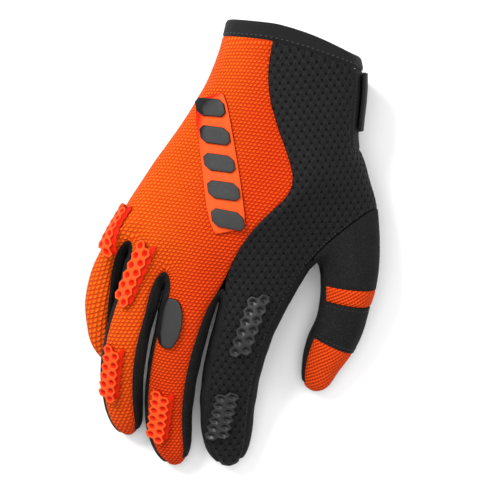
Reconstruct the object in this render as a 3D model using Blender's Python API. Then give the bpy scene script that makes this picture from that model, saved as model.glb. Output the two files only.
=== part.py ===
"""Motocross glove for the right hand, lying palm down on a floor in its filled form.

The fingers point towards -Y, the cuff towards +Y, the thumb is on the +X side and the back
of the hand is up. One control cage of knuckles, fingers, thumb and palm is smoothed into the
glove's skin, the skin is cut along its seams into the sewn panels, and each panel is thickened
inwards by its own cloth, so the glove is hollow and open at the cuff and at the wrist slit.
The moulded guards, the plain badge, the oval pad and the strap are seated on that skin.
"""

import math

import bmesh
import bpy
from mathutils import Vector
from mathutils.bvhtree import BVHTree

# Overall sizes
GLOVE_LENGTH = 0.241
GLOVE_WIDTH = 0.160
HAND_HEIGHT = 0.056

# Digits: width across and depth from nail side to palm side, where each is fullest
PINKY_WIDTH = 0.0186
PINKY_DEPTH = 0.0172
RING_WIDTH = 0.0250
RING_DEPTH = 0.0212
MIDDLE_WIDTH = 0.0300
MIDDLE_DEPTH = 0.0235
INDEX_WIDTH = 0.0326
INDEX_DEPTH = 0.0240
THUMB_WIDTH = 0.0312
THUMB_DEPTH = 0.0250

# Cloth and tape
BACK_CLOTH = 0.0016
MESH_CLOTH = 0.0020
PALM_CLOTH = 0.0014
GUSSET_CLOTH = 0.0012
THUMB_CLOTH = 0.0018
BAND_CLOTH = 0.0022
BAND_LIFT = 0.0004
BINDING_TAPE = 0.0026
BINDING_LIFT = 0.0005
SEAM_GAP = 0.0003

# Closure strap round the thumb side of the wrist
STRAP_WIDTH = 0.0310
STRAP_THICKNESS = 0.0018
STRAP_GAP = 0.0007
STRAP_SETBACK = 0.0038
STRAP_UPPER_ANGLE = 14.0
STRAP_END_ANGLE = -132.0
STRAP_END_SHARE = 0.14
STRAP_END_NARROWING = 0.45
STRAP_COLUMNS = 24
STRAP_ROWS = 4

# Moulded rubber on the back
GUARD_RISE = 0.0029
GUARD_BORDER_RISE = 0.0015
GUARD_GAP = 0.0005
PIT_DEPTH = 0.0017
BADGE_WIDTH = 0.0200
BADGE_BACKING_RISE = 0.0012
BADGE_BAR_RISE = 0.0015
BADGE_BAR_LENGTH = 0.0098
BADGE_BAR_WIDTH = 0.0165
BADGE_BAR_SLANT = 0.0055
OVAL_PAD_WIDTH = 0.0135
OVAL_PAD_RISE = 0.0018

# A round section drawn by eight cage points comes out this much smaller than the cage
CAGE_SWELL = 1.108
SQUARENESS = 0.76
SURFACE_LEVEL = 1
SEAT_LEVEL = 3

SHARP_ANGLE = 35.0
PERCENT = 0.01
# Shares of a seam's gap spread at a corner no sharper than this
CORNER_LIMIT = 0.5
# Least distance that weighs a normal, and how far a facet may stand proud of the smooth skin
NEAREST = 0.00001
FACET_REACH = 0.001

# Digit sections from root to tip. Place: x in percent of the glove's width from the little
# finger side, y in percent of its length from the fingertips, underside in percent of the hand's
# height. Size: width and depth in percent of the digit's own. Roll in degrees turns the
# thumb side up.
#              x     y   under  wide  deep  roll
PINKY = [
    (7.2, 43.4, 26.5, 84, 92, 14),
    (5.9, 38.6, 17.5, 98, 98, 20),
    (5.4, 33.2, 9.5, 98, 98, 25),
    (6.3, 28.7, 2.8, 90, 92, 25),
    (8.1, 25.2, 0.8, 68, 74, 25),
    (9.1, 23.4, 6.0, 34, 38, 25),
]
RING = [
    (17.7, 35.8, 38.0, 93, 98, 14),
    (14.1, 28.6, 31.5, 99, 99, 18),
    (12.4, 20.5, 20.5, 97, 95, 18),
    (12.8, 13.2, 6.0, 88, 89, 18),
    (14.6, 8.9, 0.6, 69, 74, 18),
    (15.3, 7.2, 6.0, 34, 38, 18),
]
MIDDLE = [
    (34.0, 33.0, 35.5, 97, 100, 10),
    (30.8, 25.2, 24.5, 95, 97, 14),
    (28.4, 16.6, 11.5, 92, 90, 15),
    (28.1, 8.0, 1.2, 87, 83, 15),
    (30.1, 2.9, 0.6, 70, 72, 15),
    (31.1, 0.6, 6.5, 37, 36, 15),
]
INDEX = [
    (54.9, 33.0, 34.5, 98, 100, -3),
    (50.9, 25.2, 24.0, 99, 97, -5),
    (48.3, 16.2, 11.5, 95, 90, -5),
    (47.7, 8.2, 1.2, 89, 84, -5),
    (48.5, 2.7, 0.6, 72, 74, -5),
    (49.0, 0.5, 6.5, 38, 36, -5),
]
THUMB = [
    (89.8, 46.4, 16.0, 107, 100, 4),
    (88.9, 39.4, 12.5, 98, 95, 4),
    (88.1, 37.2, 10.6, 86, 88, 2),
    (86.9, 31.8, 6.4, 85, 87, 0),
    (83.2, 27.2, 2.4, 86, 84, 0),
    (80.5, 23.6, 0.8, 73, 75, 4),
    (78.7, 20.2, 0.6, 59, 62, 8),
    (77.9, 17.5, 3.5, 50, 44, 8),
]
DIGITS = [
    (PINKY, PINKY_WIDTH, PINKY_DEPTH),
    (RING, RING_WIDTH, RING_DEPTH),
    (MIDDLE, MIDDLE_WIDTH, MIDDLE_DEPTH),
    (INDEX, INDEX_WIDTH, INDEX_DEPTH),
    (THUMB, THUMB_WIDTH, THUMB_DEPTH),
]

# Knuckle line from the little finger side to the thumb side: the crown of each digit
# and the slot between two, first on the back, then on the palm. Height in percent of the hand's.
#            back x     y     z   palm x     y     z
KNUCKLES = [
    (7.6, 51.0, 64, 8.8, 48.6, 24),
    (11.4, 52.4, 75, 11.8, 47.8, 20),
    (15.8, 50.6, 69, 14.2, 46.4, 32),
    (21.4, 48.4, 83, 19.4, 41.4, 31),
    (27.0, 43.8, 72, 25.4, 39.2, 40),
    (36.6, 44.4, 88, 34.0, 38.2, 35),
    (46.8, 41.0, 74, 45.0, 36.8, 40),
    (61.3, 44.8, 85, 60.2, 39.0, 31),
    (76.2, 45.2, 60, 76.2, 43.6, 27),
    (88.0, 53.0, 65, 87.9, 50.2, 15),
    (97.0, 59.4, 49, 96.2, 56.9, 20),
]
ULNAR_KNUCKLE = (5.6, 49.0, 44)
RADIAL_KNUCKLE = (101.0, 59.4, 34)

# Hand sections from the knuckles to the cuff: little finger side, the long seam between the two
# back cloths, thumb side of the back, with the back's height at each, then how far out the thumb
# side bulges, and the palm's height.
#   ulnar x     y    z  seam x     y    z  thumb x     y    z   out  palm
HAND = [
    (12.4, 56.9, 60, 52.9, 49.1, 95, 95.6, 62.6, 58, 97.6, 15),
    (18.6, 63.4, 59, 62.0, 55.8, 100, 94.0, 65.7, 60, 96.8, 10),
    (25.2, 69.9, 58, 73.7, 60.8, 97, 91.2, 68.8, 64, 96.2, 3),
    (33.0, 76.6, 59, 68.4, 69.3, 95, 89.6, 72.6, 67, 92.8, 0),
    (42.4, 86.3, 62, 58.6, 84.6, 90, 91.8, 81.2, 71, 95.2, 0),
    (47.2, 97.0, 64, 63.4, 96.0, 89, 92.0, 89.3, 71, 95.6, 0),
    (47.8, 99.7, 65, 65.0, 98.3, 91, 90.9, 91.6, 73, 93.8, 0),
]
SIDE_HEIGHT = 39.0
SIDE_BULGE = 0.7
CUFF_BOW = 0.7
BACK_INSET = 1.6
PALM_INSET = 2.2

# Rows of the hand where its columns are even, where the cuff's bow starts and where pieces end
EVEN_ROW = 3.0
BOW_ROW = 3.0
CREASE_ROW = 3.5
BINDING_ROW = 6.0

# Columns round the hand: the back, its long seam, then the thumb side, the palm and the
# little finger side
BACK_COLUMNS = 10
SEAM_COLUMN = 6
THUMB_SIDE = BACK_COLUMNS + 1
LITTLE_SIDE = 2 * BACK_COLUMNS + 3

# Columns round a digit: back, side towards the thumb, palm, other side. Each digit's columns
# are counted from its number times a hundred.
DIGIT_STEP = 100.0
DIGIT_COLUMNS = 8
DIGIT_BACK_END = 2.0
DIGIT_SIDE_END = 4.0
DIGIT_PALM_END = 6.0
PINKY_BACK_START = 7.0
THUMB_BACK_END = 3.0
THUMB_BAND_ROW = -2.0
THUMB_MIDDLE_ROW = -3.0
THUMB_TIP_ROW = -5.0
INDEX_NUMBER = 3
THUMB_NUMBER = 4

# Honeycomb guards: first and last cell of the column on the thumb side, from cuff end to finger
# end, then how far the other column lies across, all in percent of the glove's width and length,
# how many degrees the guard leans towards the little finger side, its rows, how many half rows
# the other column is nearer the cuff, and its columns: a third one is the low border.
#  name                   x     y    x     y   across lean rows stagger columns
GUARDS = [
    ("knuckle_guard_pinky", 14.0, 56.4, 8.4, 48.0, 2.2, 46, 6, 1, 3, "guard_orange"),
    ("knuckle_guard_ring", 21.1, 47.4, 14.3, 36.6, 2.3, 24, 6, 1, 3, "guard_orange"),
    ("finger_guard_ring", 11.1, 24.7, 9.4, 15.4, 2.4, 15, 6, 1, 3, "guard_orange"),
    ("finger_guard_middle", 27.3, 14.8, 25.5, 6.0, 2.7, 16, 6, 1, 3, "guard_orange"),
    ("knuckle_guard_index", 60.1, 37.3, 54.3, 26.4, 2.9, 2, 6, -1, 2, "guard_black"),
    ("finger_guard_index", 49.8, 15.8, 46.7, 7.2, 3.2, 6, 6, -1, 2, "guard_black"),
]
PITTED_COLUMNS = 2
PIT_MOUTH = 0.72
# The border reaches this share of a cell's width past the pitted columns
BORDER_SHARE = 0.45

# Badge and oval pad: ends on the back in percent, and the lean towards the little finger side
BADGE_TOP = (42.8, 82.8)
BADGE_FOOT = (49.4, 51.8)
BADGE_LEAN = 17.0
BADGE_BARS = 5
OVAL_TOP = (30.6, 37.6)
OVAL_FOOT = (28.0, 26.4)
OVAL_LEAN = 14.0

# Outline of a moulded pad: 2 is an ellipse, more is squarer. Faces across and along it.
BACKING_OUTLINE = 6.0
BAR_OUTLINE = 5.0
OVAL_OUTLINE = 2.2
BACKING_FACES = (4, 10)
BAR_FACES = (4, 3)
OVAL_FACES = (4, 6)
SLAB_END = 0.97

MATERIALS = {
    "back_orange": ((0.90, 0.10, 0.012), 0.80),
    "mesh_black": ((0.020, 0.020, 0.022), 0.85),
    "plain_black": ((0.022, 0.022, 0.023), 0.80),
    "palm_black": ((0.028, 0.028, 0.030), 0.65),
    "thumb_orange": ((0.85, 0.085, 0.012), 0.75),
    "binding_black": ((0.020, 0.020, 0.021), 0.70),
    "guard_orange": ((0.95, 0.075, 0.010), 0.45),
    "guard_black": ((0.018, 0.018, 0.019), 0.45),
    "badge_grey": ((0.090, 0.090, 0.092), 0.50),
}


def clear_scene():
    for thing in list(bpy.data.objects):
        bpy.data.objects.remove(thing, do_unlink=True)


def place(x_share, y_share, height):
    return Vector((x_share * PERCENT * GLOVE_WIDTH, y_share * PERCENT * GLOVE_LENGTH, height))


def raised(z_share):
    return z_share * PERCENT * HAND_HEIGHT


def heel_height():
    return STRAP_THICKNESS + STRAP_GAP


def digit_centres(table, depth):
    """Centre line of a digit and its direction at each section."""
    centres = []
    for x, y, under, _, deep, _ in table:
        half_depth = 0.5 * deep * PERCENT * depth
        centres.append(place(x, y, raised(under) + half_depth))
    headings = []
    for number in range(len(centres)):
        before = centres[max(number - 1, 0)]
        after = centres[min(number + 1, len(centres) - 1)]
        headings.append((after - before).normalized())
    return centres, headings


def section_points(centre, heading, half_width, half_depth, roll):
    """Eight points round a digit, from the back's left edge over the back to the palm."""
    across = Vector((0.0, 0.0, 1.0)).cross(heading).normalized()
    up = heading.cross(across)
    turn = math.radians(roll)
    side = across * math.cos(turn) + up * math.sin(turn)
    crown = up * math.cos(turn) - across * math.sin(turn)
    corner = SQUARENESS
    shape = [
        (-corner, corner),
        (0.0, 1.0),
        (corner, corner),
        (1.0, 0.0),
        (corner, -corner),
        (0.0, -1.0),
        (-corner, -corner),
        (-1.0, 0.0),
    ]
    return [centre + side * (u * half_width) + crown * (v * half_depth) for u, v in shape]


def column_shares(row):
    """Spacing of the back's columns: as the knuckles have it near them, even further up."""
    even_left = [column / SEAM_COLUMN for column in range(SEAM_COLUMN + 1)]
    right_count = BACK_COLUMNS - SEAM_COLUMN
    even_right = [column / right_count for column in range(right_count + 1)]
    first, seam, last = KNUCKLES[0][0], KNUCKLES[SEAM_COLUMN][0], KNUCKLES[-1][0]
    own_left = [(KNUCKLES[column][0] - first) / (seam - first) for column in range(SEAM_COLUMN + 1)]
    own_right = [(KNUCKLES[SEAM_COLUMN + k][0] - seam) / (last - seam) for k in range(right_count + 1)]
    keep = max(0.0, 1.0 - row / EVEN_ROW)
    left = [keep * own + (1.0 - keep) * even for own, even in zip(own_left, even_left)]
    right = [keep * own + (1.0 - keep) * even for own, even in zip(own_right, even_right)]
    return left, right


def hand_section(row, entry):
    """Ring of points round the hand: back, thumb side, palm, little finger side."""
    ulnar_x, ulnar_y, ulnar_z, seam_x, seam_y, seam_z = entry[:6]
    thumb_x, thumb_y, thumb_z, thumb_out, palm_z = entry[6:]
    bow = CUFF_BOW * max(0.0, (row - BOW_ROW) / (len(HAND) - 1.0 - BOW_ROW))
    left, right = column_shares(row)
    back = []
    for share in left[:-1]:
        x = ulnar_x + BACK_INSET + share * (seam_x - ulnar_x - BACK_INSET)
        y = ulnar_y + share * (seam_y - ulnar_y)
        z = ulnar_z + (seam_z - ulnar_z) * math.sin(share * math.pi / 2.0)
        back.append(place(x, y, raised(z)))
    for share in right:
        x = seam_x + share * (thumb_x - seam_x)
        y = seam_y + share * (thumb_y - seam_y) + bow * math.sin(share * math.pi)
        z = thumb_z + (seam_z - thumb_z) * math.cos(share * math.pi / 2.0)
        back.append(place(x, y, raised(z)))
    thumb_side = place(thumb_out, thumb_y, raised(SIDE_HEIGHT))
    palm = []
    for column in range(BACK_COLUMNS + 1):
        share = column / BACK_COLUMNS
        x = ulnar_x + PALM_INSET + share * (thumb_x - ulnar_x - PALM_INSET)
        y = ulnar_y + share * (thumb_y - ulnar_y)
        palm.append(place(x, y, heel_height() + raised(palm_z)))
    ulnar_side = place(ulnar_x - SIDE_BULGE, ulnar_y, raised(SIDE_HEIGHT))
    return back + [thumb_side] + palm[::-1] + [ulnar_side]


class Cage:
    """Control cage of the skin: points, faces and for each face corner its column and row."""

    def __init__(self):
        self.points = []
        self.faces = []
        self.corners = []

    def add_points(self, points):
        start = len(self.points)
        self.points.extend(points)
        return list(range(start, len(self.points)))

    def add_face(self, corners):
        self.faces.append([index for index, _, _ in corners])
        self.corners.append([(column, row) for _, column, row in corners])


def knuckle_line(cage):
    """The comb that every digit and the hand share, with the slots' middle points."""
    back = cage.add_points([place(x, y, raised(z)) for x, y, z, _, _, _ in KNUCKLES])
    palm = cage.add_points([place(x, y, raised(z)) for _, _, _, x, y, z in KNUCKLES])
    sides = [cage.add_points([place(*ULNAR_KNUCKLE[:2], raised(ULNAR_KNUCKLE[2]))])[0]]
    for digit in range(1, len(DIGITS)):
        upper = cage.points[back[2 * digit]]
        lower = cage.points[palm[2 * digit]]
        sides.append(cage.add_points([(upper + lower) / 2.0])[0])
    sides.append(cage.add_points([place(*RADIAL_KNUCKLE[:2], raised(RADIAL_KNUCKLE[2]))])[0])
    return back, palm, sides


def add_digit(cage, number, knuckles):
    """Eight columns of faces from the knuckle line to a tip closed by four faces."""
    table, width, depth = DIGITS[number]
    back, palm, sides = knuckles
    root = 2 * number
    first = [back[root], back[root + 1], back[root + 2], sides[number + 1]]
    first += [palm[root + 2], palm[root + 1], palm[root], sides[number]]
    rings = [first]
    centres, headings = digit_centres(table, depth)
    for centre, heading, entry in zip(centres, headings, table):
        half_width = 0.5 * entry[3] * PERCENT * width * CAGE_SWELL
        half_depth = 0.5 * entry[4] * PERCENT * depth * CAGE_SWELL
        rings.append(cage.add_points(section_points(centre, heading, half_width, half_depth, entry[5])))
    base = DIGIT_STEP * (number + 1)
    for row in range(len(rings) - 1):
        for column in range(DIGIT_COLUMNS):
            after = (column + 1) % DIGIT_COLUMNS
            cage.add_face([
                (rings[row][column], base + column, -row),
                (rings[row + 1][column], base + column, -row - 1),
                (rings[row + 1][after], base + column + 1, -row - 1),
                (rings[row][after], base + column + 1, -row),
            ])
    tip_reach = 0.5 * table[-1][3] * PERCENT * width
    nose = cage.add_points([centres[-1] + headings[-1] * tip_reach])[0]
    last = rings[-1]
    end = -len(rings)
    quarters = [(0, 7, None, 1), (1, None, 3, 2), (None, 5, 4, 3), (7, 6, 5, None)]
    for quarter, steps in enumerate(quarters):
        column = base + (1.0 if quarter < 2 else 5.0)
        cage.add_face([(nose if step is None else last[step], column, end) for step in steps])


def add_hand(cage, knuckles):
    back, palm, sides = knuckles
    rings = [back + [sides[-1]] + palm[::-1] + [sides[0]]]
    for row, entry in enumerate(HAND):
        rings.append(cage.add_points(hand_section(row, entry)))
    count = len(rings[0])
    for row in range(len(rings) - 1):
        for column in range(count):
            after = (column + 1) % count
            cage.add_face([
                (rings[row][column], column, row),
                (rings[row][after], column + 1, row),
                (rings[row + 1][after], column + 1, row + 1),
                (rings[row + 1][column], column, row + 1),
            ])


def build_cage():
    cage = Cage()
    knuckles = knuckle_line(cage)
    for number in range(len(DIGITS)):
        add_digit(cage, number, knuckles)
    add_hand(cage, knuckles)
    return cage


def smooth_skin(cage, level):
    """The cage rounded by subdivision, as points, normals, faces and each face's place."""
    mesh = bpy.data.meshes.new("skin")
    mesh.from_pydata(cage.points, [], cage.faces)
    layer = mesh.uv_layers.new(name="place")
    loop = 0
    for corners in cage.corners:
        for column, row in corners:
            layer.data[loop].uv = (column, row)
            loop += 1
    thing = bpy.data.objects.new("skin", mesh)
    bpy.context.scene.collection.objects.link(thing)
    rounding = thing.modifiers.new("rounding", "SUBSURF")
    rounding.levels = level
    rounding.render_levels = level
    rounding.uv_smooth = "NONE"
    bpy.context.view_layer.update()
    evaluated = thing.evaluated_get(bpy.context.evaluated_depsgraph_get())
    rounded = bpy.data.meshes.new_from_object(evaluated)
    skin = {
        "points": [vertex.co.copy() for vertex in rounded.vertices],
        "normals": [vertex.normal.copy() for vertex in rounded.vertices],
        "faces": [list(polygon.vertices) for polygon in rounded.polygons],
        "places": [],
    }
    places = rounded.uv_layers[0].data
    for polygon in rounded.polygons:
        spots = [places[index].uv for index in polygon.loop_indices]
        column = sum(spot[0] for spot in spots) / len(spots)
        row = sum(spot[1] for spot in spots) / len(spots)
        skin["places"].append((column, row))
    bpy.data.objects.remove(thing, do_unlink=True)
    bpy.data.meshes.remove(mesh)
    bpy.data.meshes.remove(rounded)
    return skin


def hand_panel(column, row):
    """Which sewn piece a place on the hand belongs to; an empty name is the open slit."""
    if THUMB_SIDE < column < THUMB_SIDE + 1 and row > CREASE_ROW:
        return ""
    if row > BINDING_ROW:
        return "cuff_binding"
    if THUMB_SIDE - 1 < column < THUMB_SIDE and row > CREASE_ROW:
        return "slit_binding"
    if column < SEAM_COLUMN or column > LITTLE_SIDE:
        return "back_panel"
    if column < THUMB_SIDE:
        return "mesh_panel"
    return "palm_panel"


def thumb_panel(column, row):
    if column > DIGIT_PALM_END:
        return "index_thumb_gusset"
    if column > THUMB_BACK_END:
        return "thumb_palm"
    if row > THUMB_BAND_ROW:
        return "thumb_back"
    if row > THUMB_MIDDLE_ROW:
        return "thumb_band"
    if row > THUMB_TIP_ROW:
        return "thumb_middle"
    return "thumb_tip"


GUSSETS = ["", "pinky_ring_gusset", "ring_middle_gusset", "middle_index_gusset", "index_thumb_gusset"]


def panel_of(spot):
    column, row = spot
    if column < DIGIT_STEP:
        return hand_panel(column, row)
    number = int(column // DIGIT_STEP) - 1
    column -= DIGIT_STEP * (number + 1)
    if number == THUMB_NUMBER:
        return thumb_panel(column, row)
    if DIGIT_SIDE_END < column < DIGIT_PALM_END:
        return "palm_panel"
    if column < DIGIT_BACK_END:
        return "mesh_panel" if number == INDEX_NUMBER else "back_panel"
    if column < DIGIT_SIDE_END:
        return GUSSETS[number + 1]
    if number == 0:
        return "back_panel" if column > PINKY_BACK_START else "palm_panel"
    return GUSSETS[number]


def make_object(name, points, faces, material):
    mesh = bpy.data.meshes.new(name)
    mesh.from_pydata(points, [], faces)
    mesh.validate()
    mesh.shade_smooth()
    mesh.set_sharp_from_angle(angle=math.radians(SHARP_ANGLE))
    mesh.materials.append(material_named(material))
    thing = bpy.data.objects.new(name, mesh)
    bpy.context.scene.collection.objects.link(thing)
    return thing


def material_named(name):
    if name in bpy.data.materials:
        return bpy.data.materials[name]
    colour, roughness = MATERIALS[name]
    material = bpy.data.materials.new(name)
    material.use_nodes = True
    shader = material.node_tree.nodes["Principled BSDF"]
    shader.inputs["Base Color"].default_value = (*colour, 1.0)
    shader.inputs["Roughness"].default_value = roughness
    shader.inputs["Metallic"].default_value = 0.0
    material.diffuse_color = (*colour, 1.0)
    return material


def border_edges(faces):
    """Edges that one face of the panel has alone, in that face's direction."""
    seen = {}
    for number, face in enumerate(faces):
        for start, end in zip(face, face[1:] + face[:1]):
            seen.setdefault(frozenset((start, end)), []).append((start, end, number))
    return [uses[0] for uses in seen.values() if len(uses) == 1]


def pull_back(points, faces, borders):
    """How each border point moves into its panel, so that a seam leaves its gap."""
    inward = {}
    for start, end, number in borders:
        ring = [points[index] for index in faces[number]]
        normal = (ring[2] - ring[0]).cross(ring[3] - ring[1]).normalized()
        push = normal.cross(points[end] - points[start]).normalized()
        inward.setdefault(start, []).append(push)
        inward.setdefault(end, []).append(push)
    moves = {}
    for index, pushes in inward.items():
        total = sum(pushes, Vector((0.0, 0.0, 0.0)))
        sharpness = max(total.length_squared, CORNER_LIMIT)
        moves[index] = total * (0.5 * SEAM_GAP * len(pushes) / sharpness)
    return moves


def rim_faces(start, end, position, count):
    """Two triangles across the cloth's edge, split the same way on both sides of a seam."""
    first, last = position[start], position[end]
    if start < end:
        return [[last, first, last + count], [first, first + count, last + count]]
    return [[last, first, first + count], [last, first + count, last + count]]


def sewn_panel(skin, panels, name, thickness, lift, material):
    """One piece of cloth: its part of the skin, thickened inwards."""
    faces = [face for face, panel in zip(skin["faces"], panels) if panel == name]
    borders = border_edges(faces)
    moves = pull_back(skin["points"], faces, borders)
    used = sorted({index for face in faces for index in face})
    position = {index: number for number, index in enumerate(used)}
    count = len(used)
    outer = []
    inner = []
    for index in used:
        normal = skin["normals"][index]
        point = skin["points"][index] + moves.get(index, Vector((0.0, 0.0, 0.0))) + normal * lift
        outer.append(point)
        inner.append(point - normal * thickness)
    solid = [[position[index] for index in face] for face in faces]
    solid += [[position[index] + count for index in reversed(face)] for face in faces]
    for start, end, _ in borders:
        solid += rim_faces(start, end, position, count)
    return make_object(name, outer + inner, solid, material)


class Seat:
    """Finds the skin under a place seen from above, or outwards from inside the wrist.

    The panels' flat facets stand proud of the smooth skin in its hollows, so both are asked and
    the outer one counts.
    """

    def __init__(self, smooth, panelled):
        self.points = smooth["points"]
        self.normals = smooth["normals"]
        self.faces = smooth["faces"]
        self.tree = BVHTree.FromPolygons(self.points, self.faces)
        self.facets = BVHTree.FromPolygons(panelled["points"], panelled["faces"])

    def soft_normal(self, point, face):
        total = Vector((0.0, 0.0, 0.0))
        for index in self.faces[face]:
            total += self.normals[index] / ((self.points[index] - point).length + NEAREST)
        return total.normalized()

    def hit(self, origin, direction):
        point, _, face, _ = self.tree.ray_cast(origin, direction)
        if point is None:
            point, _, face, _ = self.tree.find_nearest(origin + direction * (0.5 * HAND_HEIGHT))
            return point, self.soft_normal(point, face)
        normal = self.soft_normal(point, face)
        facet, _, _, _ = self.facets.ray_cast(origin, direction)
        if facet is not None and 0.0 < (facet - point).dot(normal) < FACET_REACH:
            point = facet
        return point, normal

    def under(self, x, y):
        return self.hit(Vector((x, y, 2.0 * HAND_HEIGHT)), Vector((0.0, 0.0, -1.0)))

    def facing(self, first, last, lean):
        """A flat frame over the skin between two places seen from above, leaning to -X."""
        start, _ = self.under(first.x, first.y)
        end, _ = self.under(last.x, last.y)
        along = (end - start).normalized()
        tilt = math.radians(lean)
        outward = Vector((-math.sin(tilt), 0.0, math.cos(tilt)))
        outward = (outward - along * outward.dot(along)).normalized()
        sideways = along.cross(outward) * -1.0
        return start, end, along, sideways, outward

    def press(self, spot, outward):
        """The skin where a point of such a frame is pressed onto it."""
        return self.hit(spot + outward * (0.5 * HAND_HEIGHT), -outward)


def honeycomb_guard(seat, entry):
    """Two columns of six-sided cells with pits, and a low border beside some, on the cloth."""
    name, top_x, top_y, foot_x, foot_y, across, lean, rows, stagger, columns, material = entry
    top, foot, along, sideways, outward = seat.facing(
        place(top_x, top_y, 0.0), place(foot_x, foot_y, 0.0), lean)
    pitch = (foot - top).length / (rows - 1)
    column_step = across * PERCENT * GLOVE_WIDTH
    points = []
    faces = []
    lattice = {}

    def add(spot, height):
        point, normal = seat.press(spot, outward)
        points.append(point + normal * height)
        return len(points) - 1

    turns = [(2, 0), (1, 1), (-1, 1), (-2, 0), (-1, -1), (1, -1)]
    pitted_end = 3 * PITTED_COLUMNS - 4

    def spot_at(third, half):
        out = min(third, pitted_end) + BORDER_SHARE * max(0, third - pitted_end)
        return top + sideways * (column_step * out / 3.0) + along * (pitch * half / 2.0)

    def corner(third, half, height):
        key = (third, half, height)
        if key not in lattice:
            lattice[key] = add(spot_at(third, half), height)
        return lattice[key]

    edges = {}
    for column in range(columns):
        rise = GUARD_RISE if column < PITTED_COLUMNS else GUARD_BORDER_RISE
        for row in range(rows):
            third = 3 * (column - 1)
            half = 2 * row - stagger * ((column + 1) % 2)
            spots = [(third + u, half + v) for u, v in turns]
            upper = [corner(*spot, rise) for spot in spots]
            faces.append([corner(*spot, GUARD_GAP) for spot in spots])
            if column < PITTED_COLUMNS:
                mouth = [add(spot_at(third + PIT_MOUTH * u, half + PIT_MOUTH * v), rise) for u, v in turns]
                floor = add(spot_at(third, half), rise - PIT_DEPTH)
                for start in range(6):
                    end = (start + 1) % 6
                    faces.append([upper[end], upper[start], mouth[start], mouth[end]])
                    faces.append([mouth[end], mouth[start], floor])
            else:
                faces.append(upper[::-1])
            for start, end in zip(spots, spots[1:] + spots[:1]):
                edges.setdefault(frozenset((start, end)), []).append((start, end, rise))

    def down_from(spot, rise):
        """The wall's corners at one place of the lattice, from a cell's top to the cloth."""
        levels = [rise, GUARD_BORDER_RISE, GUARD_GAP] if rise > GUARD_BORDER_RISE else [rise, GUARD_GAP]
        return [lattice[(*spot, level)] for level in levels if (*spot, level) in lattice]

    for walls in edges.values():
        start, end, rise = walls[0]
        if len(walls) == 1:
            first = down_from(start, rise)
            faces.append(first[:1] + down_from(end, rise) + first[:0:-1])
        elif rise != walls[1][2]:
            first = down_from(start, rise)
            last = down_from(end, rise)
            faces.append([first[0], last[0], last[1], first[1]])
    thing = make_object(name, points, faces, material)
    face_out(thing)
    return thing


def face_out(thing):
    work = bmesh.new()
    work.from_mesh(thing.data)
    bmesh.ops.recalc_face_normals(work, faces=work.faces)
    if work.calc_volume(signed=True) < 0.0:
        bmesh.ops.reverse_faces(work, faces=work.faces)
    work.to_mesh(thing.data)
    work.free()


def seated_slab(seat, name, top, foot, lean, width, slant, low, high, blunt, counts, material):
    """A moulded pad along a line on the back, with rounded ends, between two heights."""
    start, end, along, sideways, outward = seat.facing(top, foot, lean)
    half = (end - start).length / 2.0
    middle = (start + end) / 2.0
    across_count, along_count = counts
    upper = []
    lower = []
    for row in range(along_count + 1):
        share = SLAB_END * math.sin(math.pi * (row / along_count - 0.5))
        reach = max(0.0, 1.0 - abs(share) ** blunt) ** (1.0 / blunt)
        for column in range(across_count + 1):
            side = 2.0 * column / across_count - 1.0
            spot = middle + along * (share * half + slant * side * reach)
            spot = spot + sideways * (side * reach * width / 2.0)
            point, normal = seat.press(spot, outward)
            upper.append(point + normal * high)
            lower.append(point + normal * low)
    return thick_grid(name, upper, lower, along_count, across_count, material)


def thick_grid(name, upper, lower, rows, columns, material):
    """A closed plate between two grids of points."""
    wide = columns + 1
    count = len(upper)
    faces = []
    for row in range(rows):
        for column in range(columns):
            first = row * wide + column
            loop = [first, first + 1, first + wide + 1, first + wide]
            faces.append(loop)
            faces.append([index + count for index in reversed(loop)])
    rim = [column for column in range(wide)]
    rim += [row * wide + columns for row in range(1, rows + 1)]
    rim += [rows * wide + column for column in range(columns - 1, -1, -1)]
    rim += [row * wide for row in range(rows - 1, 0, -1)]
    for start, end in zip(rim, rim[1:] + rim[:1]):
        faces.append([end, start, start + count, end + count])
    thing = make_object(name, upper + lower, faces, material)
    face_out(thing)
    return thing


def badge(seat):
    """A plain raised backing with slanted bars, on the back of the hand."""
    top = place(*BADGE_TOP, 0.0)
    foot = place(*BADGE_FOOT, 0.0)
    backing_top = SEAM_GAP + BADGE_BACKING_RISE
    seated_slab(seat, "badge_backing", top, foot, BADGE_LEAN, BADGE_WIDTH, 0.0, SEAM_GAP, backing_top,
                BACKING_OUTLINE, BACKING_FACES, "guard_orange")
    step = (foot - top) / BADGE_BARS
    heading = step.normalized()
    low = backing_top + SEAM_GAP
    for number in range(BADGE_BARS):
        middle = top + step * (number + 0.5)
        start = middle - heading * (BADGE_BAR_LENGTH / 2.0)
        end = middle + heading * (BADGE_BAR_LENGTH / 2.0)
        seated_slab(seat, f"badge_bar_{number + 1}", start, end, BADGE_LEAN, BADGE_BAR_WIDTH,
                    BADGE_BAR_SLANT / 2.0, low, low + BADGE_BAR_RISE, BAR_OUTLINE, BAR_FACES, "badge_grey")


def oval_pad(seat):
    top = place(*OVAL_TOP, 0.0)
    foot = place(*OVAL_FOOT, 0.0)
    seated_slab(seat, "oval_pad", top, foot, OVAL_LEAN, OVAL_PAD_WIDTH, 0.0, SEAM_GAP,
                SEAM_GAP + OVAL_PAD_RISE, OVAL_OUTLINE, OVAL_FACES, "badge_grey")


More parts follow.
